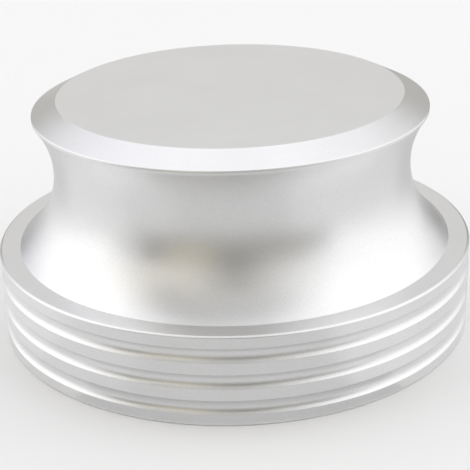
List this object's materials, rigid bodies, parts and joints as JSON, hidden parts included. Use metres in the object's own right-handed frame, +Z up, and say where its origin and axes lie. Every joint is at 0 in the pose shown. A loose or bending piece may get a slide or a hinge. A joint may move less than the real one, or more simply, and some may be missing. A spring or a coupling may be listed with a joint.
{
  "type": "record weight",
  "caption": "Turned aluminium record weight: a grooved round base, a concave neck and a bevelled flat top, with a blind spindle hole underneath.",
  "frame": {"origin": "centre of the underside, at the mouth of the spindle hole", "axes": "+Z up along the turning axis, from the underside to the flat top; the part is the same all round it"},
  "size_m": [0.076, 0.076, 0.0379],
  "materials": {
    "anodised_aluminium": "fine satin, clear anodised"
  },
  "bodies": {
    "root": {"weight_body": "anodised_aluminium"}
  },
  "joints": []
}
